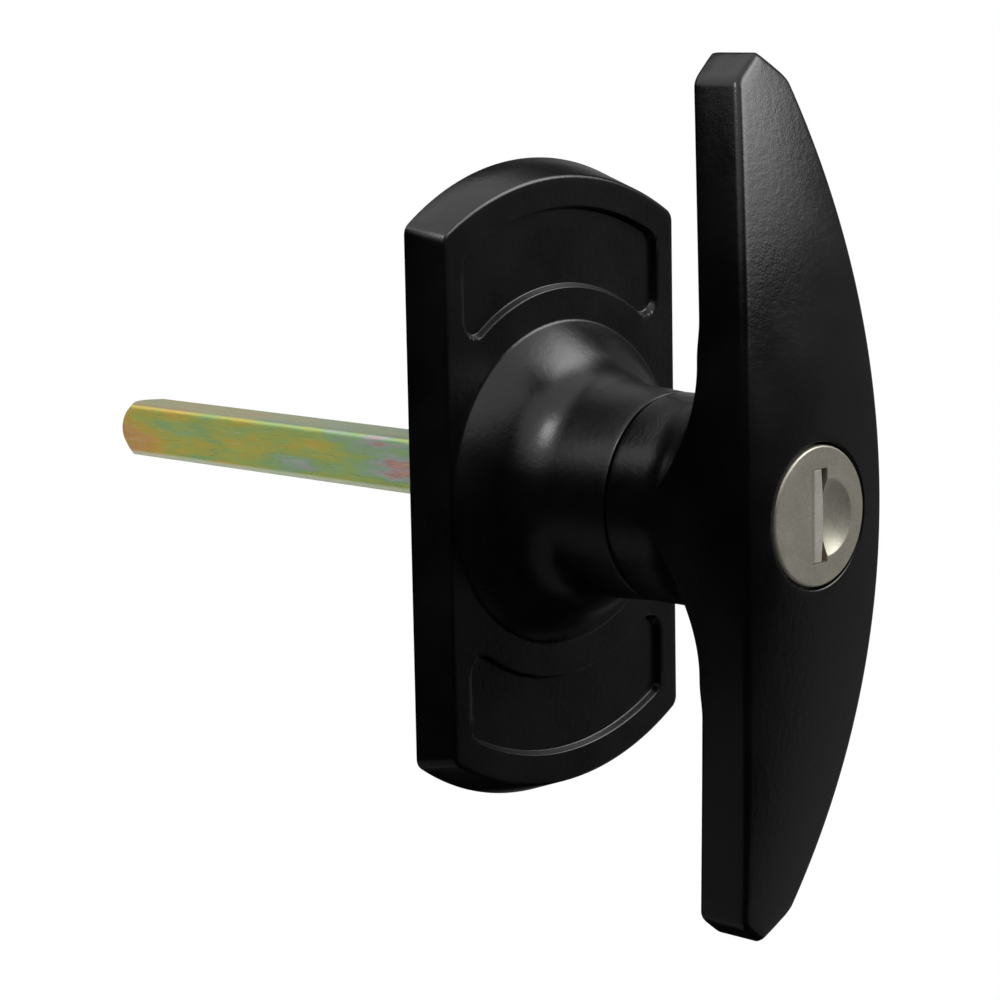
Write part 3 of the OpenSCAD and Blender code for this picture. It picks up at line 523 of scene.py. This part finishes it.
# Shutter: a rounded hinge side and a bowed free edge, carried up the keyhole
flap = {"pivot": (-0.70, 49.18), "knuckle": 0.75, "width": 2.3, "thick": 0.7, "length": 12.0, "bow": 0.4,
        "edge": 0.12, "endRound": 0.1, "pin": 0.35, "notch": (2.8, 4.4), "coil": 0.56}


def makeShutter():
    # a section of knuckle and plate, drawn in at both ends and along the bowed edge
    px, pout = flap["pivot"]
    k, e = flap["knuckle"], flap["edge"]
    reach = flap["width"] - k
    knuckle = arcPlaces((0, 0), k, np.pi / 2, np.pi * 1.5, 24)
    heel = arcPlaces((0, 0), k, np.pi * 1.5, 2 * np.pi - 0.07, 10)[1:]
    lower = np.stack([np.linspace(k + 0.05, reach - e, 5), np.full(5, k - flap["thick"])], -1)
    tip = np.concatenate([arcPlaces((reach - e, k - flap["thick"] + e), e, -np.pi / 2, 0, 5)[1:],
                          arcPlaces((reach - e, k - e), e, 0, np.pi / 2, 5)])
    upper = np.stack([np.linspace(reach - 2 * e, 0.1, 8), np.full(8, k)], -1)
    section = np.concatenate([knuckle, heel, lower, tip, upper])
    half = flap["length"] / 2
    radius = (half ** 2 + flap["bow"] ** 2) / (2 * flap["bow"])
    turn, rounding = np.linspace(0, np.pi / 2, 4), flap["endRound"]
    ends, drawn = half - rounding * (1 - np.sin(turn)), rounding * (1 - np.cos(turn))
    z = np.concatenate([-ends[::-1], np.linspace(2 * rounding - half, half - 2 * rounding, 60), ends])
    inset = np.concatenate([drawn[::-1], np.zeros(60), drawn])
    sag = radius - np.sqrt(radius ** 2 - z ** 2)
    share = np.clip(section[:, 0] / reach, 0, 1)[None]
    x = px + section[:, 0][None] * (1 - inset[:, None] / reach) - share * sag[:, None]
    out = pout + section[:, 1][None] * (1 - inset[:, None] / k)
    return ringSolid("keyShutter", toScene(x, out, np.broadcast_to(z[:, None], x.shape)))


def carveShutter(shutter):
    # the pin's bore along the hinge, and the notch for the spring's coil, open at the back of the knuckle
    px, pout = flap["pivot"]
    reach = 2 * flap["knuckle"]
    bore = circleOutline(flap["pin"], (px, pout), 48)
    notch = np.concatenate([arcPlaces((px, pout), flap["coil"], 0, np.pi, 24),
                            [(px - reach, pout), (px - reach, pout - reach),
                             (px + reach, pout - reach), (px + reach, pout)]])
    for name, outline, span in (("pinBore", bore, (-10, 10)), ("springNotch", notch, flap["notch"])):
        carve(shutter, flatEnded(name, *(toScene(outline[:, 0], outline[:, 1], z) for z in span)))


# Finishes. Patterns are laid out in millimetres through a Mapping node.
def addNode(tree, kind, **settings):
    node = tree.nodes.new(kind)
    for key, value in settings.items():
        setattr(node, key, value)
    return node


def feed(tree, socket, value):
    # a number or colour is set on the socket, and another node's output is linked to it
    if isinstance(value, bpy.types.NodeSocket):
        tree.links.new(value, socket)
    else:
        socket.default_value = value


def startMaterial(name, metallic, roughness, colour):
    material = bpy.data.materials.new(name)
    material.use_nodes = True
    tree = material.node_tree
    tree.nodes.clear()
    shader = addNode(tree, "ShaderNodeBsdfPrincipled")
    tree.links.new(shader.outputs[0], addNode(tree, "ShaderNodeOutputMaterial").inputs[0])
    shader.inputs["Metallic"].default_value = metallic
    shader.inputs["Roughness"].default_value = roughness
    shader.inputs["Base Color"].default_value = (*colour, 1)
    return material, tree, shader


def millimetres(tree, stretch=(1, 1, 1)):
    place = addNode(tree, "ShaderNodeTexCoord")
    mapping = addNode(tree, "ShaderNodeMapping")
    tree.links.new(place.outputs["Object"], mapping.inputs["Vector"])
    mapping.inputs["Scale"].default_value = [1000 * s for s in stretch]
    return mapping.outputs[0]


def noise(tree, coords, scale, detail=2.0, roughness=0.5):
    node = addNode(tree, "ShaderNodeTexNoise")
    feed(tree, node.inputs["Vector"], coords)
    node.inputs["Scale"].default_value = scale
    node.inputs["Detail"].default_value = detail
    node.inputs["Roughness"].default_value = roughness
    return node.outputs["Fac"]


def ramp(tree, factor, stops):
    # stops are (place, colour) pairs
    node = addNode(tree, "ShaderNodeValToRGB")
    feed(tree, node.inputs["Fac"], factor)
    band = node.color_ramp
    while len(band.elements) < len(stops):
        band.elements.new(0.5)
    for element, (place, colour) in zip(band.elements, stops):
        element.position = place
        element.color = (*colour, 1)
    return node.outputs["Color"]


def combine(tree, kind, a, b):
    node = addNode(tree, "ShaderNodeMath", operation=kind)
    feed(tree, node.inputs[0], a)
    feed(tree, node.inputs[1], b)
    return node.outputs[0]


def rescale(tree, value, low, high, to0, to1, kind="LINEAR"):
    node = addNode(tree, "ShaderNodeMapRange", interpolation_type=kind)
    for socket, v in zip(node.inputs[:5], (value, low, high, to0, to1)):
        feed(tree, socket, v)
    return node.outputs[0]


def blendColours(tree, factor, a, b, kind="MIX"):
    node = addNode(tree, "ShaderNodeMix", data_type="RGBA", blend_type=kind)
    feed(tree, node.inputs["Factor"], factor)
    for socket, v in zip((node.inputs[6], node.inputs[7]), (a, b)):
        feed(tree, socket, v)
    return node.outputs[2]


def bump(tree, shader, height, depth, strength=1.0):
    # depth is the height of the relief in millimetres
    node = addNode(tree, "ShaderNodeBump")
    node.inputs["Strength"].default_value = strength
    node.inputs["Distance"].default_value = depth * mm
    feed(tree, node.inputs["Height"], height)
    tree.links.new(node.outputs[0], shader.inputs["Normal"])


def blackCoat(name, rough, grain):
    # stoved black powder coat: slow orange peel, fine grain and a slightly uneven sheen
    material, tree, shader = startMaterial(name, 0.0, rough, (0.001, 0.001, 0.001))
    coords = millimetres(tree)
    peel = noise(tree, coords, 1.1, 1.5)
    speck = noise(tree, coords, 3.6, 2.5)
    cloud = noise(tree, coords, 0.09, 3.0)
    feed(tree, shader.inputs["Base Color"], ramp(tree, cloud, [(0.3, (0.0008, 0.0008, 0.0009)),
                                                            (0.7, (0.002, 0.002, 0.0021))]))
    feed(tree, shader.inputs["Roughness"], rescale(tree, cloud, 0.3, 0.7, rough - 0.04, rough + 0.05))
    height = combine(tree, "ADD", peel, combine(tree, "MULTIPLY", speck, grain))
    bump(tree, shader, height, 0.022)
    return material


def yellowZinc():
    # passivated zinc: film colours follow a thickness that drifts along the bar in drawn-out streaks,
    # with dark scratches and pale scuffs, painted shade over the top face and a painted highlight along the lower
    # corner
    material, tree, shader = startMaterial("yellowZinc", 0.5, 0.36, (0.5, 0.45, 0.2))
    coords = millimetres(tree, (1, 0.22, 1))
    fine = millimetres(tree, (1, 0.05, 1))
    split = addNode(tree, "ShaderNodeSeparateXYZ")
    feed(tree, split.inputs[0], millimetres(tree))
    along = rescale(tree, split.outputs[1], -5, 86, 0.16, 0.9)
    drift = rescale(tree, noise(tree, coords, 0.3, 4.0, 0.6), 0.25, 0.75, -0.36, 0.36)
    streak = rescale(tree, noise(tree, fine, 1.6, 4.0, 0.6), 0.2, 0.8, -0.12, 0.12)
    film = combine(tree, "ADD", along, combine(tree, "ADD", drift, streak))
    colour = ramp(tree, film, [(0.0, (0.72, 0.75, 0.52)), (0.14, (0.84, 0.6, 0.32)), (0.22, (0.72, 0.4, 0.36)),
                               (0.3, (0.6, 0.6, 0.58)), (0.4, (0.44, 0.64, 0.42)), (0.5, (0.44, 0.66, 0.25)),
                               (0.7, (0.67, 0.67, 0.15)), (0.86, (0.88, 0.58, 0.13)), (1.0, (0.88, 0.5, 0.2))])
    scuff = rescale(tree, noise(tree, fine, 3.6, 3.0, 0.65), 0.6, 0.75, 0.0, 0.55)
    scratch = rescale(tree, noise(tree, fine, 2.9, 4.0, 0.7), 0.3, 0.38, 0.45, 0.0)
    z = split.outputs[2]
    # pale share: random scuffs, plus a painted highlight along the lower corner (z below -3 mm) that stands in for
    # light from the floor; it also lowers the metallic share
    pale = combine(tree, "MAXIMUM", scuff, rescale(tree, z, -3.0, -3.4, 0.0, 0.9))
    # dark share: random dark scratches, plus painted shade over the top face (z above 3.7 mm)
    scratchAndTopShade = combine(tree, "MAXIMUM", scratch, rescale(tree, z, 3.7, 3.95, 0.0, 0.7))
    # scratches and the painted top shade turn the film colour towards dark grey
    colour = blendColours(tree, scratchAndTopShade, colour, (0.3, 0.31, 0.27, 1))
    # scuffs and the painted lower highlight turn the colour towards pale grey-green
    feed(tree, shader.inputs["Base Color"], blendColours(tree, pale, colour, (0.54, 0.58, 0.44, 1)))
    feed(tree, shader.inputs["Metallic"], rescale(tree, pale, 0.0, 1.0, 0.5, 0.05))
    feed(tree, shader.inputs["Roughness"], rescale(tree, noise(tree, fine, 3.0, 2.0), 0.3, 0.7, 0.26, 0.44))
    bump(tree, shader, noise(tree, fine, 5.0, 3.0), 0.012, 0.9)
    return material


def satinMetal(name, colour, rough, grain=0.5, metallic=1.0, speckle=0.06):
    # fine matt grain over a slow change of tone; the speckle is the share of brightness that it moves
    material, tree, shader = startMaterial(name, metallic, rough, colour)
    coords = millimetres(tree)
    tone = noise(tree, coords, 0.35, 4.0, 0.6)
    dots = rescale(tree, noise(tree, coords, 3.4, 2.0, 0.7), 0.25, 0.75, 1 - speckle, 1 + speckle)
    dark = tuple(c * 0.86 for c in colour)
    light = tuple(min(c * 1.08, 1) for c in colour)
    wide = ramp(tree, tone, [(0.3, dark), (0.7, light)])
    feed(tree, shader.inputs["Base Color"], blendColours(tree, 1.0, wide, dots, "MULTIPLY"))
    feed(tree, shader.inputs["Roughness"], rescale(tree, noise(tree, coords, 6.0, 3.0), 0.3, 0.7, rough - 0.05,
                                                  rough + 0.06))
    bump(tree, shader, noise(tree, coords, 9.0, 3.0), 0.004, grain)
    return material


finishes = {
    "plateCoat": blackCoat("plateCoat", 0.28, 0.5),
    "gripCoat": blackCoat("gripCoat", 0.23, 0.75),
    "yellowZinc": yellowZinc(),
    "satinFace": satinMetal("satinFace", (0.415, 0.398, 0.33), 0.4, 0.6, 0.75, 0.16),
    "satinShutter": satinMetal("satinShutter", (0.54, 0.52, 0.46), 0.42, 0.6, 0.65, 0.14),
    "brass": satinMetal("brass", (0.6, 0.43, 0.18), 0.35),
    "zincAlloy": satinMetal("zincAlloy", (0.42, 0.42, 0.43), 0.5, 0.8),
    "whiteZinc": satinMetal("whiteZinc", (0.56, 0.58, 0.61), 0.36, 0.5),
    "springSteel": satinMetal("springSteel", (0.3, 0.3, 0.32), 0.32, 0.4),
}
print("finishes made:", len(finishes))


def dress(piece, finish):
    piece.data.materials.clear()
    piece.data.materials.append(finishes[finish])


shell = makeEscutcheon()
carveBack(shell)
print("escutcheon made:", len(shell.data.polygons), "faces")
body = makeGrip()
carveGrip(body)
print("grip made:", len(body.data.polygons), "faces")
cap = makeFace()
shutter = makeShutter()
carveShutter(shutter)
print("plug face and shutter made")

pieces = [
    (shell, "escutcheon", "lock_base", "black_coat", "plateCoat"),
    (body, "grip", "handle", "black_coat", "gripCoat"),
    (cap, "face_cap", "plug", "satin_face", "satinFace"),
    (shutter, "shutter", "shutter_flap", "satin_face", "satinShutter"),
]
for piece, node, rider, slotName, finish in pieces:
    smoothEdges(piece)
    dress(piece, finish)
    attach(piece, rider)
    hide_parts(node)

slotFinish = {"yellow_zinc": "yellowZinc", "spring_steel": "springSteel", "white_zinc": "whiteZinc",
              "zinc_alloy": "zincAlloy", "brass": "brass", "satin_face": "satinFace", "black_coat": "gripCoat"}
for part in frame["record"]["subparts"]:
    node = nodes[part["node"]]
    if not node.data.materials:
        node.data.materials.append(None)
    for slot in node.material_slots:
        slot.material = finishes[slotFinish[part["material_slot"]]]
print("nodes dressed")


# Studio: a pale floor well below, a broad soft light overhead, paler walls at the sides and two soft boxes.
# A lobe is (azimuth, elevation, cosine where it starts, cosine where it is full, strength), and a box is
# (name, azimuth, elevation, distance, size, radiance).
studio = {
    "floorZ": -300, "floorHalf": 2500,
    "lobes": [(-92, 78, 0.52, 0.68, 1.0), (-134, -60, 0.743, 0.848, 0.1), (136, 0, 0.87, 0.98, 0.3),
              (84, -8, 0.79, 0.83, 0.17), (40, 36, 0.87, 1.0, 6.8)],
    "boxes": [("rearBox", -92, 56, 800, 270, 9.0), ("sideBox", 68, 50, 800, 200, 2.0)],
}


def direction(azimuth, elevation):
    # azimuth 0 is in front of the lock and grows towards +x
    a, e = math.radians(azimuth), math.radians(elevation)
    return np.array([math.sin(a) * math.cos(e), -math.cos(a) * math.cos(e), math.sin(e)])


def aim(obj, place, back, roll=0.0):
    # the local z axis points along back and the x axis is level, then both other axes turn by the roll
    right = np.cross(-back, [0, 0, 1])
    right /= np.linalg.norm(right)
    up = np.cross(right, -back)
    c, s = math.cos(math.radians(roll)), math.sin(math.radians(roll))
    axes = [c * right + s * up, c * up - s * right, back, place]
    obj.matrix_world = [[*axis, end] for axis, end in zip(np.array(axes).tolist(), (0, 0, 0, 1))]


def makeFloor():
    # matt and pale, and for camera rays it fades to plain white with the distance from its middle
    half, z = studio["floorHalf"] * mm, studio["floorZ"] * mm
    mesh = bpy.data.meshes.new("floor")
    mesh.from_pydata([(-half, -half, z), (half, -half, z), (half, half, z), (-half, half, z)], [], [(0, 1, 2, 3)])
    floor = bpy.data.objects.new("floor", mesh)
    bpy.context.scene.collection.objects.link(floor)
    material = bpy.data.materials.new("paleFloor")
    material.use_nodes = True
    tree = material.node_tree
    tree.nodes.clear()
    matt = addNode(tree, "ShaderNodeBsdfDiffuse")
    feed(tree, matt.inputs["Color"], ramp(tree, noise(tree, millimetres(tree), 0.01, 2.0),
                                          [(0.3, (0.84, 0.84, 0.84)), (0.7, (0.87, 0.87, 0.87))]))
    white = addNode(tree, "ShaderNodeEmission")
    path = addNode(tree, "ShaderNodeLightPath")
    place = addNode(tree, "ShaderNodeTexCoord")
    length = addNode(tree, "ShaderNodeVectorMath", operation="LENGTH")
    feed(tree, length.inputs[0], place.outputs["Object"])
    far = rescale(tree, length.outputs["Value"], 0.4, 0.9, 0.6, 1.0)
    mix = addNode(tree, "ShaderNodeMixShader")
    feed(tree, mix.inputs[0], combine(tree, "MULTIPLY", path.outputs["Is Camera Ray"], far))
    tree.links.new(matt.outputs[0], mix.inputs[1])
    tree.links.new(white.outputs[0], mix.inputs[2])
    tree.links.new(mix.outputs[0], addNode(tree, "ShaderNodeOutputMaterial").inputs[0])
    mesh.materials.append(material)
    floor.visible_glossy = False


def makeSky():
    # each soft light is a smooth step of the cosine to its middle, and camera rays see plain white
    world = bpy.data.worlds.new("studio")
    bpy.context.scene.world = world
    world.use_nodes = True
    tree = world.node_tree
    tree.nodes.clear()
    towards = addNode(tree, "ShaderNodeTexCoord").outputs["Generated"]

    def lobe(middle, low, high, strength):
        dot = addNode(tree, "ShaderNodeVectorMath", operation="DOT_PRODUCT")
        feed(tree, dot.inputs[0], towards)
        dot.inputs[1].default_value = [float(c) for c in middle]
        return rescale(tree, dot.outputs["Value"], low, high, 0.0, strength, "SMOOTHSTEP")

    level = 0.0
    for azimuth, elevation, low, high, strength in studio["lobes"]:
        level = combine(tree, "MAXIMUM", level, lobe(direction(azimuth, elevation), low, high, strength))
    path = addNode(tree, "ShaderNodeLightPath")
    seen = combine(tree, "MAXIMUM", path.outputs["Is Camera Ray"], path.outputs["Is Transmission Ray"])
    back = addNode(tree, "ShaderNodeBackground")
    back.inputs["Color"].default_value = (1, 1, 1, 1)
    feed(tree, back.inputs["Strength"], combine(tree, "MAXIMUM", level, seen))
    tree.links.new(back.outputs[0], addNode(tree, "ShaderNodeOutputWorld").inputs[0])


def makeBox(name, azimuth, elevation, distance, size, radiance):
    # the power is radiance times pi times the area
    light = bpy.data.lights.new(name, "AREA")
    light.size = size * mm
    light.energy = radiance * math.pi * (size * mm) ** 2
    lamp = bpy.data.objects.new(name, light)
    bpy.context.scene.collection.objects.link(lamp)
    towards = direction(azimuth, elevation)
    aim(lamp, towards * distance * mm, towards)


view = {"azimuth": -46.205, "elevation": 9.713, "roll": -1.102, "distance": 394.155,
        "target": (-27.506, -20.0, 2.738), "lens": 111.266, "sensor": 36}


def makeCamera():
    # the camera stands back from its target along the viewing direction, rolled about it
    data = bpy.data.cameras.new("camera")
    data.lens = view["lens"]
    data.sensor_width = view["sensor"]
    data.clip_start = 0.01
    camera = bpy.data.objects.new("camera", data)
    bpy.context.scene.collection.objects.link(camera)
    back = direction(view["azimuth"], view["elevation"])
    aim(camera, (np.array(view["target"]) + back * view["distance"]) * mm, back, view["roll"])
    bpy.context.scene.camera = camera


makeFloor()
makeSky()
for settings in studio["boxes"]:
    makeBox(*settings)
makeCamera()
bpy.context.scene.view_settings.view_transform = "Standard"
print("studio and camera set")
